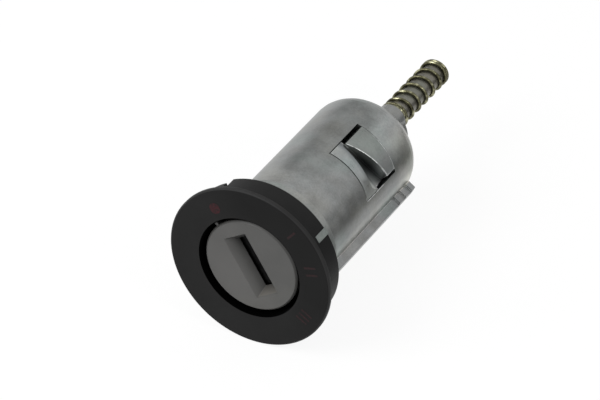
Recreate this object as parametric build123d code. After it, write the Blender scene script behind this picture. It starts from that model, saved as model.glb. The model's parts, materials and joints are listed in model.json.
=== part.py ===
from build123d import *
import os
from math import cos, degrees, radians, sin

os.makedirs("parts", exist_ok=True)

# Ignition lock barrel. The lock lies along +Y: the key side faces -Y at y = 0, the tail points to +Y,
# and +Z is up. Angles are in degrees from +X towards +Z, as seen from the key side. Sizes in millimetres.

# Clearances
turning_gap = 0.04  # radial play of what turns in a bore
seat_gap = 0.05  # play between pieces that are fitted together
slide_gap = 0.15  # play of the catch in its window and of the tumblers in their slots
spring_gap = 0.05  # play at each end of a spring
cut_past = 1.0  # how far a cutting form runs past the face that it cuts
joined = 0.5  # how far an added form starts inside the one it grows from
closed_coil_pitch = 1.04  # rise of a closed turn of a spring, in wire thicknesses
coil_runs = 14  # straight runs in one turn of the tail spring
small_coil_runs = 8  # the same for the small springs inside

# Black bezel ring
flange_width = 1.65
flange_thickness = 0.9
flange_bevel = 0.3
collar_wall = 2.8
bezel_depth = 6.6
opening_gap = 0.95  # between the key cap and the ring's opening
face_plate = 2.2
relief_wall = 0.9  # wall left on each side of the ring's moulding pockets
relief_count = 5
relief_span = 36.0
snap_height = 0.3
snap_length = 0.8
snap_back = 1.5  # from the ring's rear edge to the snap bead
snap_angles = (95.0, 215.0, 335.0)
snap_span = 24.0
collar_slot_angle = 118.8
collar_slot_width = 1.0
collar_slot_length = 2.3
collar_step = 1.1  # how much shorter the collar is beside the slot
collar_step_span = 40.0

# Die-cast housing
barrel_wall = 4.3  # from the core's surface to the barrel's
barrel_end = 43.0
head_step = 1.4  # how far the head stands out from the barrel
head_end = 11.1
head_wall = 1.6
dome_length = 5.5
dome_steps = 9
tail_face_radius = 5.0
lug_angle = 34.9
lug_width = 1.4
lug_start = 3.4
lug_length = 3.6
lug_slope = 0.9
rib_angle = -35.0
rib_width = 6.0
rib_height = 1.65
rib_past_barrel = 0.6
rib_groove_start = 36.4
rib_groove_width = 1.2
rib_groove_depth = 0.4
rib_groove_pitch = 2.4
rib_groove_count = 3
rib_groove_lip = 0.3  # left between the grooves in the rib's side and its outer face
cap_recess_end = 8.8
channel_depth = 1.8
channel_margin = 0.6

# Key cap and keyhole
cap_side_gap = 1.15  # between the cap and the recess round it
cap_face = 0.7
cap_end = 8.3
cap_bevel = 0.35
cap_wall = 1.05
cap_front_end = 3.0
slot_angle = 122.0
slot_end_room = 0.6  # from the keyway to each end of the keyhole's slot
slot_width = 1.6
funnel_flare_end = 1.3  # how far the funnel opens out at each end and side of the slot
funnel_flare_side = 1.85
funnel_depth = 1.9
pointer_angle = 137.5
pointer_reach = 0.65
pointer_width = 0.55
pointer_length = 1.4

# Turning core
core_wall = 2.1  # from the keyway's end to the core's surface
core_end = 41.0
core_head_end = 8.6
keyway_height = 9.4
keyway_width = 2.0
keyway_end = 32.0
key_turn_range = 154.0
stop_edge = 0.15  # from the core head's rim to the stop tab
stop_depth = 1.0
stop_length = 1.2
stop_width = 2.4
stop_play = 2.0  # degrees of play at each end of the turn

# Tumblers
tumbler_count = 8
tumbler_start = 12.2
tumbler_pitch = 2.5
tumbler_thickness = 1.0
tumbler_side_room = 3.3  # from each side of a tumbler to the core's surface
tumbler_window_room = 0.25  # round the key, in a tumbler's window
tumbler_window_width = 2.6
tumbler_ear_room = 1.3  # from a tumbler's ear to the core's surface
tumbler_ear_height = 1.1
tumbler_ear_top = 2.7
tumbler_travel = 1.0
tumbler_spring_length = 4.3
tumbler_spring_radius = 0.55
tumbler_wire = 0.22
tumbler_spring_inset = 0.9  # from the end of the ear to the spring's middle
tumbler_spring_turns = 3.0

# Keyhole shutter
shutter_end_lap = 0.4  # how far the flap covers past each end of the slot
shutter_thickness = 0.45
shutter_tip = 1.5  # how far the flap covers past the keyhole's middle
shutter_axis_side = 2.2
shutter_pin_radius = 0.4
shutter_knuckle_radius = 0.75
shutter_pin_overhang = 0.8
shutter_spring_seat = 2.0
shutter_spring_play = 0.2
shutter_wire = 0.22
shutter_spring_turns = 2.5
shutter_recess_depth = 4.6
shutter_recess_margin = 0.4
shutter_face_gap = 0.1  # between the flap and what is in front of it

# Retaining catch in the window
window_angle = 45.2
window_width = 11.7
window_start = 26.1
window_length = 11.2
pocket_wall = 0.56  # left between the pocket's floor and the core's bore
pocket_undercut = 0.8
pocket_lip = 1.7
catch_travel = 1.1
catch_floor_gap = 0.1  # left under the catch when it is pressed in
catch_proud = 0.05
catch_foot = 0.6
apron_sink = 0.05
apron_gap = 0.3  # seam in front of the apron
apron_length = 4.4
band_width = 10.15
band_shift = 0.12
catch_spring_radius = 1.6
catch_spring_wire = 0.35
catch_spring_turns = 3.0
catch_spring_place = 8.7  # from the window's start
catch_roof = 0.8  # left between the spring's hole and the barrel's surface

# Slanted step across the catch, given at its upper and lower ends: how far its steep wall and its ramp's
# end are from the window's start, the floor's height from the catch's underside, and the ramp's depth
groove_reach = 6.0  # from the window's middle to the two ends
groove_upper_wall = 4.2
groove_upper_floor = 1.2
groove_upper_ramp = 3.8
groove_upper_ramp_depth = 1.25
groove_lower_wall = 8.5
groove_lower_floor = -0.55
groove_lower_ramp = 2.6
groove_lower_ramp_depth = 1.15
groove_lip = 0.7

# Drive stem, its pin, clip and spring
stem_radius = 2.7
stem_depth = 7.6  # how far the stem reaches into the core
boss_radius = 3.0
boss_start = 4.7  # from the housing's tail face
boss_length = 3.0
shank_radius = 2.3
shank_length = 18.6
shank_bevel = 0.5
tang_angle = 12.0
tang_radius = 5.75
tang_width = 3.9
tang_length = 2.5
tang_gap = 0.25  # between the clip and the tang
cross_pin_radius = 0.9
cross_pin_place = 3.8  # from the core's tail face
cross_pin_inset = 0.5  # from each end of the pin to the core's surface
clip_thickness = 0.6
clip_gap = 0.15
clip_play = 0.03
clip_radius = 4.6
clip_groove_radius = 2.2
clip_mouth = 3.4
clip_relief_radius = 1.5
tail_spring_wire = 0.65
tail_spring_gap = 0.05
tail_spring_length = 18.8
tail_spring_turns = 5.5
tail_spring_closed_turns = 1.5

# Places that follow from the sizes above
slot_length = keyway_height + 2 * slot_end_room
funnel_length = slot_length + 2 * funnel_flare_end
funnel_width = slot_width + 2 * funnel_flare_side
shutter_length = slot_length + 2 * shutter_end_lap
core_radius = keyway_height / 2 + core_wall
tumbler_width = 2 * (core_radius - tumbler_side_room)
tumbler_window_length = keyway_height + 2 * tumbler_window_room
tumbler_ear_reach = core_radius - tumbler_ear_room
tumbler_spring_side = tumbler_ear_reach - tumbler_spring_inset
cross_pin_length = 2 * (core_radius - cross_pin_inset)
barrel_radius = core_radius + barrel_wall
head_radius = barrel_radius + head_step
rib_radius = barrel_radius + rib_height
rib_end = barrel_end + rib_past_barrel
dome_end = barrel_end + dome_length
cap_recess_radius = head_radius - head_wall
cap_radius = cap_recess_radius - cap_side_gap
opening_radius = cap_radius + opening_gap
bezel_bore_radius = head_radius + seat_gap
collar_radius = bezel_bore_radius + collar_wall
bezel_radius = collar_radius + flange_width
bead_start = bezel_depth - snap_back - snap_length
head_face = face_plate + seat_gap
slot_floor = cap_face + funnel_depth
core_face = cap_front_end + seat_gap
core_bore_radius = core_radius + turning_gap
core_head_radius = cap_radius - cap_wall - seat_gap
stop_outer_radius = core_head_radius - stop_edge
stop_inner_radius = stop_outer_radius - stop_depth
shutter_axis = core_face + shutter_knuckle_radius + shutter_face_gap
window_end = window_start + window_length
pocket_floor_radius = core_bore_radius + pocket_wall
pocket_undercut_radius = barrel_radius - pocket_lip
catch_radius = barrel_radius + catch_proud
catch_bottom_radius = pocket_floor_radius + catch_travel + catch_floor_gap
catch_spring_roof = barrel_radius - catch_roof
stem_start = core_end - stem_depth
stem_bore_radius = stem_radius + turning_gap
stem_end = dome_end + boss_start
boss_end = stem_end + boss_length
clip_start = dome_end + clip_gap
tail_spring_radius = shank_radius + tail_spring_gap + tail_spring_wire / 2


def direction(angle):
    """Unit vector out from the lock's axis at an angle."""
    return (cos(radians(angle)), 0, sin(radians(angle)))


def facing_key(y, angle=0.0):
    """Plane across the axis, seen from the key side, with its local x axis at the angle."""
    return Plane(origin=(0, y, 0), x_dir=direction(angle), z_dir=(0, -1, 0))


def facing_tail(y, angle=0.0):
    """The same plane with its local z axis along +Y."""
    return Plane(origin=(0, y, 0), x_dir=direction(angle), z_dir=(0, 1, 0))


def facing_out(y, angle):
    """Plane whose local z axis points out from the axis, with local x along +Y."""
    return Plane(origin=(0, y, 0), x_dir=(0, 1, 0), z_dir=direction(angle))


def prism(sketch, start, end, angle=0.0):
    """A sketch seen from the key side, as a solid from start to end along the axis."""
    return extrude(facing_key(end, angle) * sketch, amount=end - start)


def rod(radius, start, end):
    return prism(Circle(radius), start, end)


def tube(outer, inner, start, end):
    return prism(Circle(outer) - Circle(inner), start, end)


def block(angle, inner, outer, width, start, end):
    """Box from one distance to another out from the axis at an angle."""
    sketch = Pos((inner + outer) / 2, 0) * Rectangle(outer - inner, width)
    return prism(sketch, start, end, angle)


def turned(*outline):
    """Solid of revolution about the lock's axis from (radius, y) points."""
    return revolve(Plane.XY * make_face(Polyline(*outline, close=True)), axis=Axis.Y)


def sector(outer, inner, middle, span, start, end):
    """Part of a ring, span degrees wide about the middle angle."""
    step = span / 3
    reach = outer / cos(radians(step / 2)) + cut_past
    steps = [-span / 2, -step / 2, step / 2, span / 2]
    corners = [(reach * cos(radians(a)), reach * sin(radians(a))) for a in steps]
    wedge = make_face(Polyline((0, 0), *corners, close=True))
    return prism((Circle(outer) - Circle(inner)) & wedge, start, end, middle)


def cross_rod(radius, y, angle, inner, outer):
    """Rod across the axis, from one distance to another out at an angle."""
    place = facing_out(y, angle) * Pos(0, 0, (inner + outer) / 2)
    return place * Cylinder(radius, outer - inner)


def coil(mean_radius, wire, closed_turns, open_turns, length, runs=small_coil_runs):
    """Compression spring along +Z from z = 0, in straight runs with a square or six-sided wire."""
    closed_rise = closed_coil_pitch * wire * closed_turns
    open_rise = length - wire - 2 * closed_rise
    total = 2 * closed_turns + open_turns
    steps = round(total * runs)
    points = []
    for step in range(steps + 1):
        turn = total * step / steps
        rise = closed_rise * min(turn / closed_turns, 1) if closed_turns else 0
        rise += open_rise * min(max((turn - closed_turns) / open_turns, 0), 1)
        if turn > closed_turns + open_turns:
            rise += closed_coil_pitch * wire * (turn - closed_turns - open_turns)
        angle = radians(360 * turn)
        points.append((mean_radius * cos(angle), mean_radius * sin(angle), wire / 2 + rise))
    line = Polyline(*points)
    sides = 6 if closed_turns else 4
    section = Plane(origin=line @ 0, z_dir=line % 0) * RegularPolygon(wire / 2, sides)
    return sweep(section, path=line, transition=Transition.RIGHT)


def bezel_ring():
    ring = turned(
        (opening_radius, 0),
        (bezel_radius - flange_bevel, 0),
        (bezel_radius, flange_bevel),
        (bezel_radius, flange_thickness),
        (collar_radius, flange_thickness),
        (collar_radius, bezel_depth),
        (bezel_bore_radius, bezel_depth),
        (bezel_bore_radius, face_plate),
        (opening_radius, face_plate),
    )
    for index in range(relief_count):
        middle = lug_angle + (index + 0.5) * 360 / relief_count
        ring -= sector(
            collar_radius - relief_wall,
            bezel_bore_radius + relief_wall,
            middle,
            relief_span,
            face_plate,
            bezel_depth,
        )
    for angle in snap_angles:
        ring += sector(
            bezel_bore_radius + seat_gap,
            head_radius - snap_height,
            angle,
            snap_span,
            bead_start,
            bead_start + snap_length,
        )
    ring -= block(
        collar_slot_angle,
        bezel_bore_radius - joined,
        collar_radius + cut_past,
        collar_slot_width,
        bezel_depth - collar_slot_length,
        bezel_depth + cut_past,
    )
    ring -= sector(
        collar_radius + cut_past,
        bezel_bore_radius - joined,
        collar_slot_angle + collar_step_span / 2,
        collar_step_span,
        bezel_depth - collar_step,
        bezel_depth + cut_past,
    )
    notch_width = lug_width + 2 * seat_gap
    ring -= block(
        lug_angle, bezel_bore_radius - joined, bezel_radius, notch_width, lug_start - seat_gap, bezel_depth
    )
    return ring


def dome():
    """Rounded tail end: a quarter of an ellipse in short steps, closed to the axis."""
    width = barrel_radius - tail_face_radius
    curve = []
    for step in range(dome_steps + 1):
        angle = radians(90 * step / dome_steps)
        curve.append((tail_face_radius + width * cos(angle), barrel_end + dome_length * sin(angle)))
    return turned((0, barrel_end), *curve, (0, dome_end))


def keying_rib():
    """Rib along the barrel, with short grooves across one side at its tail end."""
    inner = core_bore_radius
    rib = block(rib_angle, inner, rib_radius + cut_past, rib_width, head_end - joined, rib_end)
    rib &= rod(rib_radius, head_end - joined, rib_end)
    outer = rib_radius - rib_groove_lip
    groove = Pos((inner + outer) / 2, rib_width / 2) * Rectangle(outer - inner, 2 * rib_groove_depth)
    for index in range(rib_groove_count):
        start = rib_groove_start + index * rib_groove_pitch
        rib -= prism(groove, start, start + rib_groove_width, rib_angle)
    return rib


def locating_lug():
    outline = [
        (cap_recess_radius, lug_start),
        (collar_radius, lug_start),
        (collar_radius, lug_start + lug_length),
        (head_radius, lug_start + lug_length + lug_slope),
        (cap_recess_radius, lug_start + lug_length + lug_slope),
    ]
    plate = make_face(Polyline(*outline, close=True))
    plate = extrude(Plane.XY * plate, amount=lug_width / 2, both=True)
    return Rot(0, -lug_angle, 0) * plate


def catch_window():
    """Everything that the window and its undercut pocket take out of the wall."""
    reach = barrel_radius + cut_past
    opening = block(window_angle, 0, reach, window_width, window_start, window_end)
    under = block(
        window_angle,
        0,
        reach,
        window_width,
        window_start - pocket_undercut,
        window_end + pocket_undercut,
    )
    under &= rod(pocket_undercut_radius, window_start - pocket_undercut, window_end + pocket_undercut)
    kept = rod(pocket_floor_radius, window_start - pocket_undercut, window_end + pocket_undercut)
    return (opening + under) - kept


def housing():
    body = rod(head_radius, head_face, head_end) + rod(barrel_radius, head_end, barrel_end) + dome()
    body += keying_rib()
    body += locating_lug()
    body -= rod(cap_recess_radius, head_face - cut_past, cap_recess_end)
    body -= rod(core_bore_radius, cap_recess_end - cut_past, core_end + seat_gap)
    body -= rod(stem_bore_radius, core_end, dome_end + cut_past)
    body -= catch_window()
    body -= tube(
        head_radius + cut_past,
        head_radius - snap_height - seat_gap,
        bead_start - seat_gap,
        bead_start + snap_length + seat_gap,
    ) - block(lug_angle, 0, collar_radius, lug_width, lug_start, bezel_depth)
    channel_start = tumbler_start - tumbler_thickness / 2 - channel_margin
    channel_end = tumbler_place(tumbler_count - 1) + tumbler_thickness / 2 + channel_margin
    channel_reach = core_radius + channel_depth
    channel_width = tumbler_width + 2 * channel_margin
    for angle in (slot_angle, slot_angle + 180):
        body -= block(angle, 0, channel_reach, channel_width, channel_start, channel_end)
    half_tab = degrees(stop_width / 2 / stop_inner_radius)
    middle = slot_angle + 180 - key_turn_range / 2
    span = key_turn_range + 2 * (half_tab + stop_play)
    body -= sector(
        stop_outer_radius + slide_gap,
        stop_inner_radius - slide_gap,
        middle,
        span,
        cap_recess_end - cut_past,
        core_head_end + stop_length + slide_gap,
    )
    return body


def tumbler_place(index):
    return tumbler_start + index * tumbler_pitch


def tumbler_plate(index):
    """Plate tumbler at the height that the key gives it, both ends flush with the core."""
    middle = tumbler_place(index)
    start = middle - tumbler_thickness / 2
    end = middle + tumbler_thickness / 2
    outline = Rectangle(2 * core_radius, tumbler_width) & Circle(core_radius - turning_gap)
    outline -= Rectangle(tumbler_window_length, tumbler_window_width)
    ear_width = tumbler_ear_reach - tumbler_width / 2 + joined
    outline += Pos(
        tumbler_ear_top - tumbler_ear_height / 2, -tumbler_ear_reach + ear_width / 2
    ) * Rectangle(tumbler_ear_height, ear_width)
    return prism(outline, start, end, slot_angle)


def tumbler_cut(index):
    """Slot, ear room and spring hole that one tumbler needs in the core."""
    middle = tumbler_place(index)
    half = tumbler_thickness / 2 + slide_gap / 2
    cut = prism(
        Rectangle(2 * (core_radius + cut_past), tumbler_width + 2 * slide_gap),
        middle - half,
        middle + half,
        slot_angle,
    )
    foot = tumbler_ear_top - tumbler_ear_height - tumbler_spring_length - slide_gap
    top = tumbler_ear_top + tumbler_travel
    room = tumbler_ear_reach + slide_gap
    cut += prism(
        Pos((foot + top) / 2, -room / 2) * Rectangle(top - foot, room), middle - half, middle + half, slot_angle
    )
    hole_radius = tumbler_spring_radius + tumbler_wire / 2 + slide_gap
    hole = cross_rod(hole_radius, middle, slot_angle, foot, tumbler_ear_top - tumbler_ear_height)
    return cut + spring_side(hole)


def spring_side(shape):
    """Moves a shape from the slot's plane to the side where the tumbler springs stand."""
    x, y, z = direction(slot_angle - 90)
    return Pos(x * tumbler_spring_side, y, z * tumbler_spring_side) * shape


def tumbler_spring(index):
    length = tumbler_spring_length - 2 * spring_gap
    spring = coil(tumbler_spring_radius, tumbler_wire, 0, tumbler_spring_turns, length)
    foot = tumbler_ear_top - tumbler_ear_height - tumbler_spring_length + spring_gap
    return spring_side(facing_out(tumbler_place(index), slot_angle) * Pos(0, 0, foot) * spring)


def shutter_plane():
    """Plane across the shutter's hinge line, which runs beside the keyhole."""
    x, y, z = direction(slot_angle - 90)
    origin = (x * shutter_axis_side, shutter_axis, z * shutter_axis_side)
    return Plane(origin=origin, x_dir=(0, 1, 0), z_dir=direction(slot_angle))


def shutter_rod(radius, start, end):
    """Rod along the hinge line, from one distance to another from the flap's middle."""
    return shutter_plane() * Pos(0, 0, (start + end) / 2) * Cylinder(radius, end - start)


def shutter_flap():
    front = core_face + shutter_face_gap
    width = shutter_axis_side + shutter_tip
    half = shutter_length / 2
    plate = prism(
        Pos(0, shutter_tip - width / 2) * Rectangle(shutter_length, width),
        front,
        front + shutter_thickness,
        slot_angle,
    )
    flap = plate + shutter_rod(shutter_knuckle_radius, -half, half - shutter_spring_seat)
    flap -= shutter_rod(shutter_knuckle_radius + shutter_face_gap, half - shutter_spring_seat, half)
    return flap - shutter_rod(shutter_pin_radius + seat_gap, -half - cut_past, half + cut_past)


def shutter_pin():
    half = shutter_length / 2 + shutter_pin_overhang
    return shutter_rod(shutter_pin_radius, -half, half)


def shutter_spring():
    length = shutter_spring_seat - 2 * shutter_spring_play
    mean = shutter_pin_radius + seat_gap + shutter_wire / 2
    spring = coil(mean, shutter_wire, 0, shutter_spring_turns, length)
    start = shutter_length / 2 - shutter_spring_seat + shutter_spring_play
    return shutter_plane() * Pos(0, 0, start) * spring


def shutter_recess():
    low = shutter_tip + shutter_recess_margin
    high = shutter_axis_side + shutter_knuckle_radius + shutter_recess_margin
    length = shutter_length + 2 * shutter_recess_margin
    sketch = Pos(0, (low - high) / 2) * Rectangle(length, low + high)
    return prism(sketch, core_face - cut_past, core_face + shutter_recess_depth, slot_angle)


def rotor_cap():
    cap = rod(cap_radius, cap_face, cap_end)
    cap = chamfer(cap.edges().group_by(Axis.Y)[0], cap_bevel)
    cap -= rod(core_head_radius + seat_gap, cap_front_end, cap_end + cut_past)
    mouth = facing_key(cap_face, slot_angle) * Rectangle(funnel_length, funnel_width)
    floor = facing_key(slot_floor, slot_angle) * Rectangle(slot_length, slot_width)
    cap -= loft([mouth.face(), floor.face()])
    cap -= prism(Rectangle(slot_length, slot_width), cap_face, cap_front_end + cut_past, slot_angle)
    cap += block(
        pointer_angle,
        cap_radius - joined,
        cap_radius + pointer_reach,
        pointer_width,
        cap_face + cap_bevel,
        cap_face + cap_bevel + pointer_length,
    )
    return cap


def rotor_core():
    core = rod(core_head_radius, core_face, core_head_end) + rod(core_radius, core_head_end, core_end)
    core += block(
        slot_angle + 180,
        stop_inner_radius,
        stop_outer_radius,
        stop_width,
        core_head_end - joined,
        core_head_end + stop_length,
    )
    core -= shutter_recess()
    pin_half = shutter_length / 2 + shutter_pin_overhang + seat_gap
    core -= shutter_rod(shutter_pin_radius + seat_gap / 2, -pin_half, pin_half)
    core -= prism(Rectangle(keyway_height, keyway_width), core_face, keyway_end, slot_angle)
    for index in range(tumbler_count):
        core -= tumbler_cut(index)
    core -= rod(stem_radius + seat_gap, stem_start - seat_gap, core_end + cut_past)
    return core - cross_pin_hole()


def drive_stem():
    stem = rod(stem_radius, stem_start, stem_end) + rod(boss_radius, stem_end, boss_end)
    stem += rod(shank_radius, boss_end, boss_end + shank_length)
    tip = stem.edges().filter_by(GeomType.CIRCLE).group_by(Axis.Y)[-1]
    stem = chamfer(tip, shank_bevel)
    tang_start = clip_start + clip_thickness + tang_gap
    tang_end = tang_start + tang_length
    tang = block(tang_angle, 0, tang_radius + cut_past, tang_width, tang_start, tang_end)
    stem += tang & rod(tang_radius, tang_start, tang_end)
    groove_end = clip_start + clip_thickness + clip_play
    stem -= tube(stem_radius + cut_past, clip_groove_radius, clip_start - clip_play, groove_end)
    return stem - cross_pin_hole()


def cross_pin_hole():
    reach = core_radius + cut_past
    place = core_end - cross_pin_place
    return cross_rod(cross_pin_radius + seat_gap, place, slot_angle - 90, -reach, reach)


def stem_cross_pin():
    half = cross_pin_length / 2
    return cross_rod(cross_pin_radius, core_end - cross_pin_place, slot_angle - 90, -half, half)


def rotor_clip():
    outline = Circle(clip_radius) - Circle(clip_groove_radius + seat_gap)
    mouth = Pos(clip_radius, 0) * Rectangle(2 * clip_radius, clip_mouth)
    relief = Pos(0, clip_radius) * Circle(clip_relief_radius)
    outline = outline - mouth - relief - mirror(relief, Plane.XZ)
    return prism(outline, clip_start, clip_start + clip_thickness, slot_angle)


def tail_spring():
    closed = tail_spring_closed_turns
    spring = coil(
        tail_spring_radius, tail_spring_wire, closed, tail_spring_turns, tail_spring_length, coil_runs
    )
    return facing_tail(boss_end, slot_angle) * spring


def groove_section(side, wall, floor, ramp, ramp_depth):
    """Outline of the catch's step at one end: steep wall behind, ramp running out to the front."""
    x, y, z = direction(window_angle + 90)
    plane = Plane(
        origin=(x * side, window_start, z * side),
        x_dir=(0, 1, 0),
        z_dir=direction(window_angle - 90),
    )
    top = catch_radius + cut_past
    outline = [
        (wall, top),
        (wall, catch_bottom_radius + floor),
        (ramp, catch_radius - ramp_depth),
        (ramp - groove_lip, top),
    ]
    return (plane * make_face(Polyline(*outline, close=True))).face()


def catch_groove():
    """Slanted step across the catch, deeper at its lower end."""
    upper = groove_section(
        groove_reach, groove_upper_wall, groove_upper_floor, groove_upper_ramp, groove_upper_ramp_depth
    )
    lower = groove_section(
        -groove_reach, groove_lower_wall, groove_lower_floor, groove_lower_ramp, groove_lower_ramp_depth
    )
    return loft([upper, lower], ruled=True)


def catch_band(outer, start, end):
    """Part of the catch as wide as its band, out to a radius."""
    sketch = Pos(rib_radius / 2, -band_shift) * Rectangle(rib_radius, band_width)
    return prism(sketch, start, end, window_angle) & rod(outer, start, end)


def retaining_catch():
    start = window_start + slide_gap
    end = window_end - slide_gap
    apron_end = window_start + apron_length
    apron_start = window_start + apron_gap
    apron = block(window_angle, 0, rib_radius, window_width - 2 * slide_gap, apron_start, apron_end)
    apron &= rod(barrel_radius - apron_sink, apron_start, apron_end)
    feet = catch_band(pocket_undercut_radius - slide_gap, start - catch_foot, end + catch_foot)
    catch = apron + catch_band(catch_radius, apron_end, end) + feet
    catch -= rod(catch_bottom_radius, window_start - pocket_undercut, window_end + pocket_undercut)
    catch -= catch_groove()
    place = window_start + catch_spring_place
    return catch - cross_rod(catch_spring_radius + slide_gap, place, window_angle, 0, catch_spring_roof)


def catch_spring():
    mean = catch_spring_radius - catch_spring_wire / 2
    floor = pocket_floor_radius + spring_gap
    length = catch_spring_roof - floor - spring_gap
    spring = coil(mean, catch_spring_wire, 0, catch_spring_turns, length)
    return facing_out(window_start + catch_spring_place, window_angle) * Pos(0, 0, floor) * spring


pieces = {
    "housing": housing(),
    "bezel_ring": bezel_ring(),
    "rotor_cap": rotor_cap(),
    "rotor_core": rotor_core(),
    "shutter_flap": shutter_flap(),
    "shutter_pin": shutter_pin(),
    "shutter_spring": shutter_spring(),
    "retaining_catch": retaining_catch(),
    "catch_spring": catch_spring(),
    "drive_stem": drive_stem(),
    "stem_cross_pin": stem_cross_pin(),
    "rotor_clip": rotor_clip(),
    "tail_spring": tail_spring(),
}
for index in range(tumbler_count):
    pieces[f"tumbler_{index + 1}"] = tumbler_plate(index)
    pieces[f"tumbler_spring_{index + 1}"] = tumbler_spring(index)

for name, piece in pieces.items():
    export_step(piece, f"parts/{name}.step")
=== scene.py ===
import json
import math

import bpy
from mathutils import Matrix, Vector


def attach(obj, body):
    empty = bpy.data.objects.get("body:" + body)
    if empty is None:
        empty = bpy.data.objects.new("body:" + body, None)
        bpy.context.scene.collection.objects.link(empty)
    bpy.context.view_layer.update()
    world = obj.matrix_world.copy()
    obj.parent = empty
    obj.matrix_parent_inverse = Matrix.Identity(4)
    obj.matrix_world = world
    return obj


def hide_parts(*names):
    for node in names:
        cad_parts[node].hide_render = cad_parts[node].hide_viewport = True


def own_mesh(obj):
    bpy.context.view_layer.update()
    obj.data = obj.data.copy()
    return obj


MM = 0.001
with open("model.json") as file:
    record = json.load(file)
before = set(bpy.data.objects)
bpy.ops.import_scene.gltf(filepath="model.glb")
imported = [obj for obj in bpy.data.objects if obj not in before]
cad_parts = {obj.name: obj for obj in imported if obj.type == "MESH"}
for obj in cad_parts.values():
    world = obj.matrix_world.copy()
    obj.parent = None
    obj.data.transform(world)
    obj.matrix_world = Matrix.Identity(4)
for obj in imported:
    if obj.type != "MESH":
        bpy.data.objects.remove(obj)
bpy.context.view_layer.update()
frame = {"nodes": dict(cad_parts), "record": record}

# The lock lies along +Y: the key side faces -Y at y = 0, the tail points to +Y and +Z is up. Angles are in
# degrees from +X towards +Z, as seen from the key side. Sizes and places are in millimetres, as in the
# part's source, unless a name says otherwise.
TAILWARDS = (0, 1, 0)
KEYWARDS = (0, -1, 0)

# Bezel, cap and keyhole
OPENING_RADIUS = 10.7
OPENING_END = 3.0
FLANGE_EDGE = 16.75  # where the flange's face rolls off to its rim
FLANGE_THICKNESS = 0.9
SLOT_ANGLE = 122.0
FUNNEL_MOUTH = 0.8
FUNNEL_FLOOR = 2.7
FUNNEL_REACH = 8.0  # the funnel lies within this radius
SLOT_EDGE = 0.15  # depth over which the funnel's floor drops into the black slot
MARK_LIFT = 0.02
DOT_POINTS = 24

# Housing
RECESS_RADIUS = 10.9
RECESS_END = 8.8
BARREL_RADIUS = 11.1
HEAD_END = 11.1
ON_BARREL = BARREL_RADIUS + 0.02  # the barrel's surface lies within this radius
OFF_BARREL = BARREL_RADIUS + 0.05  # what stands out from the barrel lies beyond this radius
BARREL_SKIN = 11.3  # within this radius is the barrel's surface with a little of the rib's foot
PAST_BARREL = 60.0
HEAD_SKIN = 11.6  # the head's surface lies beyond this radius
DARK_SKIN = 0.05  # how far the painted black shade of an opening reaches past its wall
RIB_ANGLE = -35.0
RIB_FOOT_ANGLE = -19.0  # where the rib's upper side meets the barrel
RIB_GROOVE_START = 36.4

# Window and catch
WINDOW_ANGLE = 45.2
WINDOW_START = 26.1
CATCH_STEP = 30.4  # where the step's upper edge crosses the catch
CATCH_GROOVE_RADIUS = 8.9  # the groove's painted shade is darkest within this radius
CREST_RADIUS = 10.2  # the band's edges get a painted highlight beyond this radius
CATCH_SPRING_WIRE = 0.35
CATCH_SPRING_MEAN = 1.425
CATCH_SPRING_TURNS = 3.0
CATCH_SPRING_PLACE = 34.8
CATCH_SPRING_FLOOR = 7.45
CATCH_SPRING_ROOF = 10.25

# Drive stem and its spring
SHANK_RADIUS = 2.3
SPRING_WIRE = 0.65
SPRING_START = 56.2
SPRING_END = 75.0
SPRING_TURNS = 5.5
CLOSED_TURNS = 1.5
CLOSED_PITCH = 1.04  # rise of a closed turn, in wire thicknesses

BLACK = (0.002, 0.002, 0.002)
COOL = (0.97, 1.0, 0.99)
WARM = (1.0, 0.985, 0.95)
GREEN_STAIN = (0.94, 1.0, 0.98)
BROWN_STAIN = (1.01, 0.99, 0.955)
ZINC_METAL = 0.85
CLOUD_SHARE = 0.7  # of the clouds in the zinc's tone, the rest is its grain
PRINT_GLOSS = 0.12


def grey(value, tint=(1, 1, 1)):
    return tuple(value * part for part in tint)


def out(angle):
    """Unit vector out from the lock's axis, the angle seen from the key side."""
    return Vector((math.cos(math.radians(angle)), 0, math.sin(math.radians(angle))))


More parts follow.
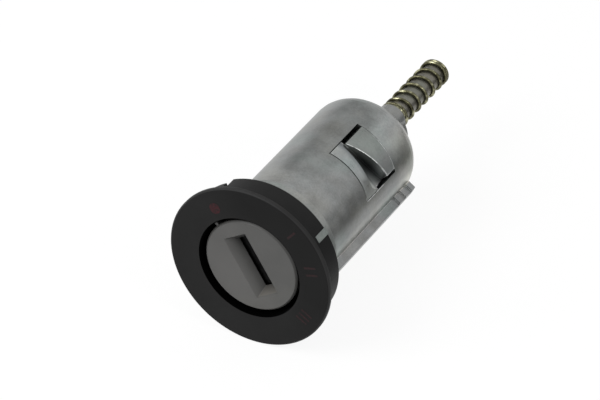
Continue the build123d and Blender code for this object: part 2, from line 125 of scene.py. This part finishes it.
class Paint:
    """Short calls for building one material's nodes."""

    def __init__(self, name):
        self.material = bpy.data.materials.new(name)
        self.material.use_nodes = True
        self.tree = self.material.node_tree
        self.shader = self.tree.nodes["Principled BSDF"]

    def node(self, kind, inputs=None, **settings):
        """New node, its inputs given by name or number as values or as other nodes' outputs."""
        made = self.tree.nodes.new(kind)
        for key, value in settings.items():
            setattr(made, key, value)
        for key, value in (inputs or {}).items():
            self.put(made.inputs[key], value)
        return made

    def put(self, socket, value):
        """Link another node's output to a socket, or set a plain value on it."""
        if isinstance(value, bpy.types.NodeSocket):
            self.tree.links.new(value, socket)
        else:
            socket.default_value = value

    def set(self, **values):
        """Link or set the shader's inputs, with _ for a space in their names."""
        for key, value in values.items():
            self.put(self.shader.inputs[key.replace("_", " ")], value)

    def place(self):
        """The point on the lock, in metres."""
        return self.node("ShaderNodeTexCoord").outputs["Object"]

    def noise(self, size_mm, detail=3.0, rough=0.5):
        """Noise whose blotches are about size_mm across, from 0 to 1."""
        inputs = {"Vector": self.place(), "Scale": 1 / (size_mm * MM), "Detail": detail, "Roughness": rough}
        return self.node("ShaderNodeTexNoise", inputs).outputs["Fac"]

    def ramp(self, value, *stops):
        """Colour by a value from 0 to 1, between stops that each have a place and a colour."""
        made = self.node("ShaderNodeValToRGB", {"Fac": value})
        points = made.color_ramp.elements
        while len(points) < len(stops):
            points.new(0.5)
        for point, (at, colour) in zip(points, stops):
            point.position = at
            point.color = (*colour, 1)
        return made.outputs["Color"]

    def span(self, value, low, high, start=0.3, end=0.7):
        """The value moved from the range start to end onto the range low to high, and kept inside it."""
        inputs = {"Value": value, "From Min": start, "From Max": end, "To Min": low, "To Max": high}
        return self.node("ShaderNodeMapRange", inputs).outputs["Result"]

    def around(self, value, middle, spread):
        return self.span(value, middle - spread, middle + spread)

    def math(self, kind, a, b):
        return self.node("ShaderNodeMath", {0: a, 1: b}, operation=kind).outputs["Value"]

    def product(self, *factors):
        result = factors[0]
        for factor in factors[1:]:
            result = self.math("MULTIPLY", result, factor)
        return result

    def dot_product(self, a, b):
        return self.node("ShaderNodeVectorMath", {0: a, 1: b}, operation="DOT_PRODUCT").outputs["Value"]

    def mix(self, factor, a, b, blend="MIX"):
        made = self.node("ShaderNodeMix", data_type="RGBA", blend_type=blend)
        for key, value in ((0, factor), (6, a), (7, b)):
            self.put(made.inputs[key], value)
        return made.outputs[2]

    def parts(self):
        return self.node("ShaderNodeSeparateXYZ", {"Vector": self.place()}).outputs

    def beyond(self, radius_mm, soft_mm=0.02):
        """0 inside a radius round the lock's axis, growing to 1 over the soft edge outside it."""
        parts = self.parts()
        square = self.math("ADD", self.math("POWER", parts["X"], 2.0), self.math("POWER", parts["Z"], 2.0))
        radius = self.math("POWER", square, 0.5)
        return self.span(radius, 0.0, 1.0, radius_mm * MM, (radius_mm + soft_mm) * MM)

    def within(self, radius_mm, soft_mm=0.02):
        """1 inside a radius round the lock's axis, falling to 0 over the soft edge outside it."""
        return self.math("SUBTRACT", 1.0, self.beyond(radius_mm, soft_mm))

    def before(self, end_mm):
        """1 on the key side of a place along the lock's axis, 0 behind it."""
        return self.math("LESS_THAN", self.parts()["Y"], end_mm * MM)

    def along(self, direction, start_mm, end_mm):
        """0 before one place along a direction from the origin, growing to 1 at another."""
        place = self.dot_product(self.place(), direction)
        return self.span(place, 0.0, 1.0, start_mm * MM, end_mm * MM)

    def tailwards(self, start_mm, end_mm):
        """0 before one place along the lock's axis, growing to 1 at another, which may lie before it."""
        return self.along(TAILWARDS, start_mm, end_mm)

    def turned(self, start, end):
        """0 before one angle round the lock's axis, growing to 1 at another, in degrees."""
        parts = self.parts()
        angle = self.math("ARCTAN2", parts["Z"], parts["X"])
        return self.span(angle, 0.0, 1.0, math.radians(start), math.radians(end))

    def facing(self, direction, low, high):
        """0 where the surface faces away from a direction, growing to 1 where it faces it, by cosine."""
        normal = self.node("ShaderNodeNewGeometry").outputs["Normal"]
        return self.span(self.dot_product(normal, direction), 0.0, 1.0, low, high)

    def sharp_edges(self, radius_mm, gap_mm):
        """1 on sharp edges, in dashes with gaps of about the given size, and 0 on open surfaces."""
        rounded = self.node("ShaderNodeBevel", {"Radius": radius_mm * MM}, samples=8).outputs["Normal"]
        normal = self.node("ShaderNodeNewGeometry").outputs["Normal"]
        edge = self.span(self.dot_product(rounded, normal), 1.0, 0.0, start=0.93, end=0.99)
        dashes = self.span(self.noise(gap_mm, detail=1.0), 0.3, 1.0, start=0.36, end=0.46)
        return self.math("MULTIPLY", edge, dashes)

    def tint(self, colour, tints):
        """The colour multiplied by each tint where its function says."""
        for tint, where in tints:
            colour = self.mix(where(self), colour, (*tint, 1), blend="MULTIPLY")
        return colour

    def bumps(self, height, depth_mm, edge_mm=0.0):
        """Surface relief, on edges rounded by edge_mm."""
        inputs = {"Height": height, "Distance": depth_mm * MM, "Strength": 1.0}
        if edge_mm:
            edge = self.node("ShaderNodeBevel", {"Radius": edge_mm * MM}, samples=6)
            inputs["Normal"] = edge.outputs["Normal"]
        self.put(self.shader.inputs["Normal"], self.node("ShaderNodeBump", inputs).outputs["Normal"])


def zinc(name, dark, light, rough, grain_mm, relief_mm, edge_mm=0.12, tints=(), edge_highlight=None, recess_shade=None):
    """Satin die-cast zinc: cloudy tone, stains, fine grain and slightly uneven gloss. Tints are pairs of a
    colour that the metal is multiplied by and a function that says where. Of the two further functions, the
    first says where edges get a painted highlight, the second where painted shade turns the metal black."""
    paint = Paint(name)
    clouds = paint.noise(size_mm=5.0, detail=4.0, rough=0.65)
    grain = paint.noise(grain_mm, detail=2.0, rough=0.7)
    cloud_share = paint.math("MULTIPLY", clouds, CLOUD_SHARE)
    tone = paint.math("ADD", cloud_share, paint.math("MULTIPLY", grain, 1 - CLOUD_SHARE))
    colour = paint.ramp(tone, (0.36, dark), (0.64, light))
    blotches = paint.noise(size_mm=9.0)
    stain = paint.ramp(blotches, (0.38, GREEN_STAIN), (0.52, grey(1.0)), (0.68, BROWN_STAIN))
    colour = paint.mix(1.0, colour, stain, blend="MULTIPLY")
    colour = paint.tint(colour, tints)
    # Edges painted bright, as a painted highlight
    if edge_highlight:
        colour = paint.mix(edge_highlight(paint), colour, (*grey(0.95, COOL), 1))
    # Painted shade: black where the recess lies in shadow
    if recess_shade:
        colour = paint.mix(recess_shade(paint), colour, (*BLACK, 1))
    dull = paint.around(tone, rough, spread=0.06)
    paint.set(Base_Color=colour, Metallic=ZINC_METAL, Roughness=dull)
    paint.bumps(grain, relief_mm, edge_mm)
    return paint.material


def plastic(name, dark, light, rough, grain_mm, relief_mm, edge_mm, gloss, opening_shade, tints):
    """Moulded plastic with a fine spark-eroded grain. A function says where painted shade turns its opening
    black, and tints are as on the zinc."""
    paint = Paint(name)
    clouds = paint.noise(size_mm=9.0)
    grain = paint.noise(grain_mm, detail=2.0, rough=0.6)
    colour = paint.tint(paint.ramp(clouds, (0.35, dark), (0.65, light)), tints)
    # Painted shade: the opening's walls turn black
    black = opening_shade(paint)
    colour = paint.mix(black, colour, (*BLACK, 1))
    dull = paint.math("MAXIMUM", paint.around(grain, rough, spread=0.05), black)
    paint.set(Base_Color=colour, Specular_IOR_Level=gloss, Roughness=dull, Metallic=black)
    paint.bumps(grain, relief_mm, edge_mm)
    return paint.material


def plated(name, stops, rough):
    """Metal with a thin coat whose tone changes along the piece, by the stops of its colour ramp."""
    paint = Paint(name)
    tone = paint.noise(size_mm=1.2)
    fine = paint.noise(size_mm=0.15, detail=2.0)
    paint.set(Base_Color=paint.ramp(tone, *stops), Metallic=1.0)
    paint.set(Roughness=paint.around(fine, rough, spread=0.07))
    paint.bumps(fine, depth_mm=0.01)
    return paint.material


def printed(name, faded, fresh):
    """Dull red print that has faded into the black plastic."""
    paint = Paint(name)
    wear = paint.noise(size_mm=0.4)
    paint.set(Base_Color=paint.ramp(wear, (0.36, faded), (0.62, fresh)), Specular_IOR_Level=PRINT_GLOSS)
    paint.set(Roughness=paint.span(wear, 0.45, 0.6))
    return paint.material


# Where painted light and shade fall on the bezel and the cap


def bezel_opening_shade(paint):
    """Painted shade: the walls of the gap round the cap, painted black."""
    return paint.product(paint.within(OPENING_RADIUS + DARK_SKIN), paint.before(OPENING_END))


# Painted highlight: a light line along the flange's rounded rim.
def flange_rim_highlight(paint):
    return paint.product(paint.beyond(FLANGE_EDGE), paint.before(FLANGE_THICKNESS + 0.3))


def face_right_shade(paint):
    """Painted shade: the bezel's face right of and above the cap, painted darker."""
    face = paint.product(paint.within(FLANGE_EDGE - 0.05), paint.before(FLANGE_THICKNESS + 0.1))
    return paint.product(paint.along(out(40), 0.0, 9.0), face)


def funnel_shade(paint):
    """How dark the keyhole's funnel is: darker with depth, most at its upper end, and its slot black."""
    depth = paint.tailwards(FUNNEL_MOUTH, FUNNEL_FLOOR)
    upper = paint.math("MAXIMUM", paint.along(out(SLOT_ANGLE), -7.0, 9.0), 0.5)
    slot = paint.tailwards(FUNNEL_FLOOR - SLOT_EDGE, FUNNEL_FLOOR)
    return paint.math("MAXIMUM", slot, paint.math("MULTIPLY", depth, upper))


def cap_right_shade(paint):
    """Painted shade on the cap's half right of the keyhole."""
    return paint.along(out(SLOT_ANGLE - 90), -0.5, 2.0)


def cap_low_light(paint):
    """Painted light on the cap's face past the keyhole's lower end."""
    return paint.along(-out(SLOT_ANGLE), 4.5, 7.0)


def funnel_low_light(paint):
    """Painted light on the sloped end of the keyhole's funnel that faces up."""
    return paint.product(
        paint.facing(out(SLOT_ANGLE), low=0.2, high=0.5),
        paint.tailwards(FUNNEL_MOUTH + 0.02, FUNNEL_MOUTH + 0.15),
        paint.within(FUNNEL_REACH),
        paint.before(FUNNEL_FLOOR + 0.1),
    )


# Where the housing is painted lighter and darker, mostly as painted light and shade


def head_recess_shade(paint):
    """Painted shade: the head's recess behind the gap round the cap, painted black."""
    return paint.product(paint.within(RECESS_RADIUS + DARK_SKIN), paint.before(RECESS_END + 0.2))


# The head and its lug, painted a little lighter than the barrel
def lighter_head(paint):
    return paint.product(paint.beyond(HEAD_SKIN), paint.before(HEAD_END + 0.1))


def head_foot_shade(paint):
    """Painted shade: a thin dark line on the barrel where the head ends."""
    return paint.product(
        paint.tailwards(HEAD_END, HEAD_END + 0.1),
        paint.tailwards(HEAD_END + 0.5, HEAD_END + 0.3),
        paint.within(BARREL_SKIN),
    )


def rib_foot_highlight(paint):
    """Painted highlight: a light strip on the barrel along the rib's foot."""
    return paint.product(
        paint.turned(RIB_FOOT_ANGLE - 4, RIB_FOOT_ANGLE),
        paint.turned(RIB_FOOT_ANGLE + 18, RIB_FOOT_ANGLE + 9),
        paint.within(ON_BARREL),
        paint.tailwards(HEAD_END - 0.1, HEAD_END + 0.3),
    )


def rib_crease_light(paint):
    """Painted light: a thin light line in the corner between the barrel and the rib's upper side."""
    return paint.product(
        paint.turned(RIB_FOOT_ANGLE - 2.8, RIB_FOOT_ANGLE - 1),
        paint.turned(RIB_FOOT_ANGLE + 2, RIB_FOOT_ANGLE + 0.6),
        paint.within(ON_BARREL + 0.01, soft_mm=0.05),
        paint.tailwards(HEAD_END, HEAD_END + 0.2),
    )


def rib_from(paint, start_mm):
    """The rib where it stands out from the barrel, from a place along it."""
    rib = paint.product(paint.turned(RIB_FOOT_ANGLE + 4, RIB_FOOT_ANGLE + 1), paint.beyond(OFF_BARREL))
    return paint.product(rib, paint.tailwards(start_mm, start_mm + 0.2))


def rib_wall(paint):
    return rib_from(paint, HEAD_END)


def rib_groove_light(paint):
    """Painted light on the steps of the short grooves in the rib's upper side that face the head."""
    return paint.product(
        paint.facing(KEYWARDS, low=0.1, high=0.5),
        paint.along(out(RIB_ANGLE + 90), 2.0, 2.2),
        rib_from(paint, RIB_GROOVE_START - 0.2),
    )


def reflection_streak(start, end, soft, from_mm, to_mm=PAST_BARREL, fade_mm=6.0):
    """Where-function for a soft band of painted reflection along the barrel, between two angles round its
    axis.
    """

    def where(paint):
        return paint.product(
            paint.turned(start - soft, start + soft),
            paint.turned(end + soft, end - soft),
            paint.within(BARREL_SKIN),
            paint.tailwards(from_mm, from_mm + fade_mm),
            paint.tailwards(to_mm + fade_mm, to_mm),
        )

    return where


def behind_window_light(paint):
    """Painted light on the barrel between the catch's window and its rounded end."""
    side = paint.product(paint.turned(17, 24), paint.turned(67, 57))
    return paint.product(side, paint.tailwards(26.0, 36.0), paint.tailwards(47.0, 44.0))


def window_edge_highlight(paint):
    """Painted highlight on the front part of the window's lower edge."""
    return paint.product(
        paint.sharp_edges(radius_mm=0.3, gap_mm=0.9),
        paint.tailwards(WINDOW_START - 0.5, WINDOW_START - 0.1),
        paint.tailwards(33.0, 32.0),
        paint.turned(2, 6),
        paint.turned(19, 15),
    )


def tail_right_light(paint):
    """Painted light on the barrel's right side where it rounds off to the stem."""
    side = paint.product(paint.turned(-28, -18), paint.turned(50, 34))
    return paint.product(side, paint.tailwards(37.0, 42.0), paint.within(BARREL_SKIN))


# Where the catch is painted lighter and darker, mostly as painted light and shade: its apron lies before
# the slanted step, its band behind it


def catch_groove_shade(paint):
    """Painted shade: the groove under the step, darker towards the lock's axis."""
    return paint.within(CATCH_GROOVE_RADIUS, soft_mm=1.8)


def apron(paint):
    return paint.tailwards(CATCH_STEP - 0.2, CATCH_STEP - 0.8)


# Painted light on the apron's lower part
def apron_low_light(paint):
    return paint.product(apron(paint), paint.turned(31, 23))


def apron_edge_shade(paint):
    """Painted shade: the apron darkens towards the step, where its edge rolls off."""
    upwards = out(WINDOW_ANGLE + 90)
    across = Vector(TAILWARDS) - 0.1 * upwards
    roll = paint.product(paint.along(across, 28.0, 29.2), paint.along(upwards, -4.0, -1.5))
    return paint.product(roll, paint.tailwards(CATCH_STEP, CATCH_STEP - 0.2))


def behind_step(paint):
    return paint.tailwards(CATCH_STEP, CATCH_STEP + 0.2)


def band(paint):
    """Painted shade on the band's upper part, which faces up."""
    return paint.product(behind_step(paint), paint.turned(33, 45))


def band_foot_light(paint):
    """Painted light on the band's lower part, which faces sideways."""
    return paint.product(behind_step(paint), paint.turned(34, 26))


def catch_edge_highlight(paint):
    """Painted highlight on the band's edges: not its upper side, and at its tail end only the lower part.
    """
    crest = paint.product(
        paint.sharp_edges(radius_mm=0.7, gap_mm=1.9),
        paint.turned(33, 29),
        paint.tailwards(35.0, 34.5),
    )
    tail_end = paint.math("MAXIMUM", paint.tailwards(36.6, 36.3), paint.turned(60, 46))
    return paint.product(
        paint.math("MAXIMUM", paint.sharp_edges(radius_mm=0.3, gap_mm=1.3), crest),
        paint.beyond(CREST_RADIUS, soft_mm=0.5),
        paint.tailwards(CATCH_STEP - 0.4, CATCH_STEP + 0.2),
        paint.turned(71.5, 69),
        tail_end,
    )


def shank(paint):
    return paint.within(SHANK_RADIUS + 0.2)


materials = {
    "zinc_housing": zinc(
        "cast_zinc",
        dark=grey(0.19, COOL),
        light=grey(0.31, COOL),
        rough=0.36,
        grain_mm=0.35,
        relief_mm=0.012,
        tints=[
            ((1.14, 1.14, 1.12), lighter_head),
            (grey(0.72), head_foot_shade),
            ((1.75, 1.75, 1.7), rib_foot_highlight),
            ((1.55, 1.5, 1.5), rib_crease_light),
            ((0.95, 0.94, 0.95), rib_wall),
            (grey(2.3), rib_groove_light),
            # Bands of painted reflection along the barrel
            ((0.8, 0.8, 0.77), reflection_streak(9, 20, soft=5, from_mm=10)),
            (grey(1.22), behind_window_light),
            ((1.31, 1.26, 1.19), tail_right_light),
            # More bands of painted reflection along the barrel
            ((0.82, 0.83, 0.82), reflection_streak(66, 107, soft=7, from_mm=14)),
            (grey(1.2), reflection_streak(64, 119, soft=5, from_mm=5, to_mm=14)),
            ((1.32, 1.32, 1.3), reflection_streak(22, 30, soft=3, from_mm=5, to_mm=14)),
        ],
        edge_highlight=window_edge_highlight,
        recess_shade=head_recess_shade,
    ),
    "zinc_core": zinc(
        "core_zinc", dark=grey(0.2, COOL), light=grey(0.3, COOL), rough=0.45, grain_mm=0.35, relief_mm=0.01
    ),
    "zinc_catch": zinc(
        "catch_zinc",
        dark=grey(0.22, COOL),
        light=grey(0.31, COOL),
        rough=0.32,
        grain_mm=0.5,
        relief_mm=0.006,
        edge_mm=0.14,
        tints=[
            ((0.1, 0.108, 0.112), catch_groove_shade),
            ((1.24, 1.27, 1.28), apron),
            ((1.4, 1.4, 1.38), apron_low_light),
            ((0.5, 0.51, 0.53), apron_edge_shade),
            ((0.86, 0.88, 0.85), band),
            (grey(1.4), band_foot_light),
        ],
        edge_highlight=catch_edge_highlight,
    ),
    "zinc_stem": zinc(
        "stem_zinc",
        dark=grey(0.2, COOL),
        light=grey(0.27, COOL),
        rough=0.36,
        grain_mm=0.4,
        relief_mm=0.008,
        tints=[((0.8, 0.75, 0.66), shank)],
    ),
    "bezel_plastic": plastic(
        "bezel_plastic",
        dark=grey(0.01),
        light=grey(0.013),
        rough=0.5,
        grain_mm=0.18,
        relief_mm=0.008,
        edge_mm=0.2,
        gloss=0.12,
        opening_shade=bezel_opening_shade,
        tints=[(grey(2.4), flange_rim_highlight), (grey(0.5), face_right_shade)],
    ),
    "cap_shell": plastic(
        "cap_shell",
        dark=grey(0.085, WARM),
        light=grey(0.1, WARM),
        rough=0.45,
        grain_mm=0.22,
        relief_mm=0.006,
        edge_mm=0.12,
        gloss=0.4,
        opening_shade=funnel_shade,
        tints=[
            ((0.87, 0.88, 0.88), cap_right_shade),
            ((1.08, 1.08, 1.06), cap_low_light),
            ((1.4, 1.35, 1.28), funnel_low_light),
        ],
    ),
    # Painted shade: the flap in the keyhole's slot is near black, as the slot lies in shade
    "shutter_steel": plated("shutter_steel", [(0.35, grey(0.006)), (0.65, grey(0.012))], rough=0.5),
    "spring_steel": plated("spring_steel", [(0.35, grey(0.32)), (0.65, grey(0.45))], rough=0.35),
    "yellow_spring": plated(
        "yellow_plating",
        [(0.36, (0.07, 0.066, 0.038)), (0.52, (0.14, 0.135, 0.08)), (0.68, (0.42, 0.41, 0.27))],
        rough=0.2,
    ),
    "tumbler_brass": plated("brass", [(0.35, (0.5, 0.38, 0.15)), (0.65, (0.65, 0.5, 0.22))], rough=0.35),
}
dot_paint = printed("red_dot", faded=(0.018, 0.011, 0.012), fresh=(0.05, 0.013, 0.016))
mark_paint = printed("red_marks", faded=(0.015, 0.0105, 0.011), fresh=(0.031, 0.0145, 0.016))

slots = {part["node"]: part["material_slot"] for part in frame["record"]["subparts"]}
for name, node in frame["nodes"].items():
    node.data.materials.clear()
    node.data.materials.append(materials[slots[name]])


def mesh_object(name, points, faces, smooth=True):
    mesh = bpy.data.meshes.new(name)
    mesh.from_pydata([Vector(point) * MM for point in points], [], faces)
    mesh.update()
    if smooth:
        mesh.shade_smooth()
    else:
        mesh.shade_flat()
    made = bpy.data.objects.new(name, mesh)
    bpy.context.collection.objects.link(made)
    return made


def round_wire(name, at, turns, wire_radius, per_turn, sides):
    """Closed tube of round wire along the coil that at(turn) gives."""
    steps = int(turns * per_turn)
    points = []
    for i in range(steps + 1):
        turn = i / per_turn
        centre = at(turn)
        along = (at(turn + 0.01) - at(turn - 0.01)).normalized()
        side = along.cross(centre - at(turn + 0.5)).normalized()
        outward = side.cross(along)
        for j in range(sides):
            a = 2 * math.pi * j / sides
            points.append(centre + (outward * math.cos(a) + side * math.sin(a)) * wire_radius)
    faces = []
    for i in range(steps):
        for j in range(sides):
            k = (j + 1) % sides
            faces.append((i * sides + j, i * sides + k, (i + 1) * sides + k, (i + 1) * sides + j))
    faces.append(tuple(range(sides)))
    faces.append(tuple(range(steps * sides, (steps + 1) * sides))[::-1])
    return mesh_object(name, points, faces)


def tail_spring():
    """The coil spring on the stem, with closed turns at both ends, on the same line as its solid."""
    mean = SHANK_RADIUS + SPRING_WIRE / 2
    closed_rise = CLOSED_PITCH * SPRING_WIRE * CLOSED_TURNS
    open_rise = SPRING_END - SPRING_START - SPRING_WIRE - 2 * closed_rise

    def at(turn):
        first = min(turn / CLOSED_TURNS, 1)
        middle = min(max((turn - CLOSED_TURNS) / SPRING_TURNS, 0), 1)
        last = max((turn - CLOSED_TURNS - SPRING_TURNS) / CLOSED_TURNS, 0)
        rise = closed_rise * (first + last) + open_rise * middle
        return out(SLOT_ANGLE - 360 * turn) * mean + Vector((0, SPRING_START + SPRING_WIRE / 2 + rise, 0))

    turns = SPRING_TURNS + 2 * CLOSED_TURNS
    return round_wire("tail_spring_wire", at, turns, SPRING_WIRE / 2, per_turn=40, sides=14)


def catch_spring():
    """The coil spring that stands in the barrel under the catch, which presses it together."""
    foot = CATCH_SPRING_FLOOR + CATCH_SPRING_WIRE / 2
    top = CATCH_SPRING_ROOF - CATCH_SPRING_WIRE / 2
    upwards = out(WINDOW_ANGLE)
    sideways = out(WINDOW_ANGLE + 90)

    def at(turn):
        a = 2 * math.pi * turn
        from_middle = (Vector((0, math.cos(a), 0)) + sideways * math.sin(a)) * CATCH_SPRING_MEAN
        rise = foot + (top - foot) * turn / CATCH_SPRING_TURNS
        return Vector((0, CATCH_SPRING_PLACE, 0)) + upwards * rise + from_middle

    return round_wire(
        "catch_spring_wire", at, CATCH_SPRING_TURNS, CATCH_SPRING_WIRE / 2, per_turn=30, sides=10
    )


def add_spring(piece, body, node, slot):
    piece.data.materials.append(materials[slot])
    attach(piece, body)
    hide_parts(node)
    return piece


add_spring(tail_spring(), "rotor", "tail_spring", "yellow_spring")
pressed = add_spring(catch_spring(), "housing", "catch_spring", "spring_steel")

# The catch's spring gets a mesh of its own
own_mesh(pressed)


def strokes(name, angle, radius, bars, length, width, gap=0.0):
    """Printed mark on the bezel's face: upright bars side by side, turned to face outwards."""
    across = out(angle - 90)
    upwards = out(angle)
    points = []
    faces = []
    for i in range(bars):
        middle = (i - (bars - 1) / 2) * gap
        for side, end in ((-1, -1), (1, -1), (1, 1), (-1, 1)):
            place = upwards * (radius + end * length / 2) + across * (middle + side * width / 2)
            points.append(place + Vector((0, -MARK_LIFT, 0)))
        faces.append((4 * i, 4 * i + 1, 4 * i + 2, 4 * i + 3))
    return mesh_object(name, points, faces, smooth=False)


def dot(name, angle, radius, size):
    middle = out(angle) * radius + Vector((0, -MARK_LIFT, 0))
    rim = [middle + out(360 / DOT_POINTS * i) * size / 2 for i in range(DOT_POINTS)]
    return mesh_object(name, rim, [tuple(range(DOT_POINTS))], smooth=False)


def add_mark(piece, paint):
    piece.data.materials.append(paint)
    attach(piece, "housing")


add_mark(dot("mark_off", angle=122.8, radius=13.2, size=2.3), dot_paint)
bar_marks = [
    strokes("mark_one", angle=49.8, radius=13.9, bars=1, length=2.4, width=0.45),
    strokes("mark_two", angle=16.4, radius=13.6, bars=2, length=2.5, width=0.45, gap=1.55),
    strokes("mark_three", angle=-31.2, radius=13.6, bars=3, length=2.5, width=0.4, gap=1.05),
]
for mark in bar_marks:
    add_mark(mark, mark_paint)

# Surroundings: a white room and floor, two dark cards for the reflections, two lamps
WHITE = (1, 1, 1, 1)
FLOOR_HEIGHT = -17.0
FLOOR_REACH = 2500
SKY_STRENGTH = 0.45
FLOOR_WHITE = 1.06
FLOOR_WHITE_SHARE = 0.85  # the rest is the paper as it is lit, which shows the lock's shadow
CARD_CENTRE = 30
CARD_DISTANCE = 900
CARD_FOOT = -16.8


def white_for_rays(tree, shaded, white):
    """The shaded surface or light, but plain white for the camera, for reflections and through glass."""
    path = tree.nodes.new("ShaderNodeLightPath")
    chosen = path.outputs["Is Camera Ray"]
    for ray in ("Is Glossy Ray", "Is Transmission Ray"):
        either = tree.nodes.new("ShaderNodeMath")
        either.operation = "MAXIMUM"
        tree.links.new(chosen, either.inputs[0])
        tree.links.new(path.outputs[ray], either.inputs[1])
        chosen = either.outputs["Value"]
    mix = tree.nodes.new("ShaderNodeMixShader")
    tree.links.new(chosen, mix.inputs["Fac"])
    tree.links.new(shaded, mix.inputs[1])
    tree.links.new(white, mix.inputs[2])
    return mix.outputs["Shader"]


world = bpy.data.worlds.new("studio")
bpy.context.scene.world = world
world.use_nodes = True
room = world.node_tree
sky = room.nodes["Background"]
seen = room.nodes.new("ShaderNodeBackground")
for background, strength in ((sky, SKY_STRENGTH), (seen, 1.0)):
    background.inputs["Color"].default_value = WHITE
    background.inputs["Strength"].default_value = strength
room.links.new(
    white_for_rays(room, sky.outputs["Background"], seen.outputs["Background"]),
    room.nodes["World Output"].inputs["Surface"],
)

floor_sides = ((-1, -1), (1, -1), (1, 1), (-1, 1))
floor_corners = [(x * FLOOR_REACH, y * FLOOR_REACH, FLOOR_HEIGHT) for x, y in floor_sides]
floor = mesh_object("floor", floor_corners, [(0, 1, 2, 3)])
paper = Paint("paper")
fibres = paper.noise(size_mm=1.5, detail=4.0)
paper.set(Base_Color=paper.ramp(fibres, (0.3, grey(0.9)), (0.7, grey(0.93))), Roughness=0.9)
lit = paper.shader.outputs["BSDF"]
white = paper.node("ShaderNodeEmission", {"Color": WHITE, "Strength": FLOOR_WHITE}).outputs["Emission"]
pale = paper.node("ShaderNodeMixShader", {"Fac": FLOOR_WHITE_SHARE, 1: lit, 2: white}).outputs["Shader"]
paper.put(paper.tree.nodes["Material Output"].inputs["Surface"], white_for_rays(paper.tree, lit, pale))
floor.data.materials.append(paper.material)


def dark_card(name, points, faces, shade):
    """Dark board that only shows in reflections, as black cards do round a small product."""
    card = mesh_object(name, points, faces, smooth=False)
    paint = Paint(name)
    tone = paint.noise(size_mm=60.0, detail=1.0)
    paint.set(Base_Color=paint.ramp(tone, (0.4, grey(shade)), (0.6, grey(shade * 1.15))), Roughness=0.9)
    paint.set(Specular_IOR_Level=0.0)
    card.data.materials.append(paint.material)
    for ray in ("camera", "diffuse", "transmission", "shadow"):
        setattr(card, "visible_" + ray, False)


def far(turn, height):
    """Point far from the lock, in a direction counted from the right towards the tail."""
    right = CARD_DISTANCE * math.cos(math.radians(turn))
    back = CARD_CENTRE + CARD_DISTANCE * math.sin(math.radians(turn))
    return (right, back, height)


near_edge = [(37, 10, CARD_FOOT), (37, 130, CARD_FOOT)]
far_edges = [far(78, CARD_FOOT), far(10, CARD_FOOT), far(78, 100), far(10, 100)]
dark_card("dark_right", near_edge + far_edges, [(0, 1, 2, 3), (3, 2, 4, 5)], shade=0.33)
high_corners = [far(114, 270), far(140, 270), far(140, 560), far(114, 560)]
dark_card("dark_left", high_corners, [(0, 1, 2, 3)], shade=0.75)


def lamp(name, place, aim, size, power):
    """Square lamp that points from its place to its aim. All are in metres, the power in watts."""
    light = bpy.data.lights.new(name, "AREA")
    light.shape = "SQUARE"
    light.size = size
    light.energy = power
    made = bpy.data.objects.new(name, light)
    made.location = place
    made.rotation_euler = (Vector(aim) - Vector(place)).to_track_quat("-Z", "Y").to_euler()
    bpy.context.collection.objects.link(made)


lamp("key", place=(-0.3, -0.45, 0.5), aim=(0, 0.03, 0), size=0.4, power=2.6)
lamp("glint", place=(0.42, -0.13, 0.32), aim=(0, 0.035, 0), size=0.05, power=0.25)

# Camera, by its direction from the point that it looks at
AZIMUTH = math.radians(29.17)
ELEVATION = math.radians(35.76)
DISTANCE_METRES = 0.7516
LENS = 235.0
SENSOR_WIDTH = 36.0
AIM = Vector((-5.94, 30.0, -5.41)) * MM
level = math.cos(ELEVATION)
back = Vector((math.sin(AZIMUTH) * level, -math.cos(AZIMUTH) * level, math.sin(ELEVATION)))
camera = bpy.data.objects.new("camera", bpy.data.cameras.new("camera"))
bpy.context.collection.objects.link(camera)
camera.data.lens = LENS
camera.data.sensor_width = SENSOR_WIDTH
camera.location = AIM + back * DISTANCE_METRES
camera.rotation_mode = "QUATERNION"
camera.rotation_quaternion = (-back).to_track_quat("-Z", "Y")
bpy.context.scene.camera = camera
bpy.context.scene.view_settings.view_transform = "Standard"
